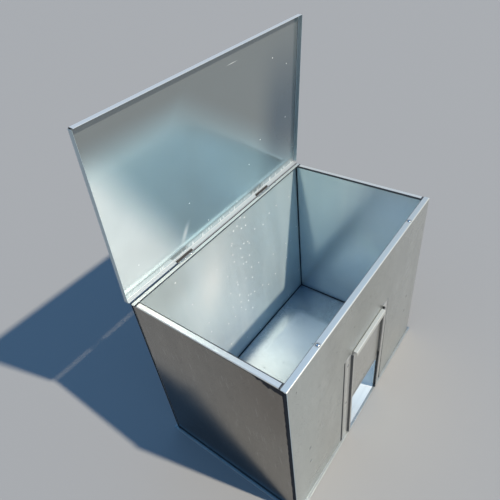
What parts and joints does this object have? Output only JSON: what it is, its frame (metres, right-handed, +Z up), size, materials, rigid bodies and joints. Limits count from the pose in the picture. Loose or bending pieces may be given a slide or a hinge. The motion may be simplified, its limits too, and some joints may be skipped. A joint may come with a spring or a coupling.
{
  "type": "coal bunker",
  "caption": "Galvanised sheet coal bunker: open box with turned-in rim, hinged lid standing open, and a front shovel hatch whose gate slides up between two rails.",
  "frame": {"origin": "middle of the underside of the base, on the ground", "axes": "+Z up, +Y from the front (hatch side) to the back (hinge side), +X along the front to the right as seen from the front"},
  "size_m": [0.97, 0.6036, 1.3128],
  "materials": {
    "galvanised_sheet": "new hot-dip galvanised sheet, smooth, semi-bright, fine grain and light handling scratches",
    "hinge_steel": "bright zinc-plated pressed steel, slightly worn",
    "rivet_steel": "plated rivet heads, satin"
  },
  "bodies": {
    "box": {"back_panel": "galvanised_sheet", "base_sheet": "galvanised_sheet", "front_panel": "galvanised_sheet", "front_strap_left": "galvanised_sheet", "front_strap_right": "galvanised_sheet", "front_strap_rivets_left": "rivet_steel", "front_strap_rivets_right": "rivet_steel", "guide_rail_left": "galvanised_sheet", "guide_rail_right": "galvanised_sheet", "guide_rail_rivets_left": "rivet_steel", "guide_rail_rivets_right": "rivet_steel", "hatch_sill": "galvanised_sheet", "hinge_left_pin": "hinge_steel", "hinge_left_rim_leaf": "hinge_steel", "hinge_left_rim_rivets": "rivet_steel", "hinge_right_pin": "hinge_steel", "hinge_right_rim_leaf": "hinge_steel", "hinge_right_rim_rivets": "rivet_steel", "rim_buffer_left": "rivet_steel", "rim_buffer_right": "rivet_steel", "rim_rivets_back": "rivet_steel", "side_panel_left": "galvanised_sheet", "side_panel_right": "galvanised_sheet"},
    "lid": {"hinge_left_lid_leaf": "hinge_steel", "hinge_left_lid_rivets": "rivet_steel", "hinge_right_lid_leaf": "hinge_steel", "hinge_right_lid_rivets": "rivet_steel", "lid_sheet": "galvanised_sheet"},
    "gate": {"gate_plate": "galvanised_sheet", "gate_stop_rivet": "rivet_steel"}
  },
  "joints": [
    {"name": "lid_hinge", "type": "hinge", "parent": "box", "child": "lid", "pos_m": [0, 0.288, 0.729], "axis": [-1, 0, 0], "range_deg": [-86.45, 81]},
    {"name": "gate_slide", "type": "slide", "parent": "box", "child": "gate", "axis": [0, 0, 1], "range_m": [-0.196, 0.015]}
  ]
}
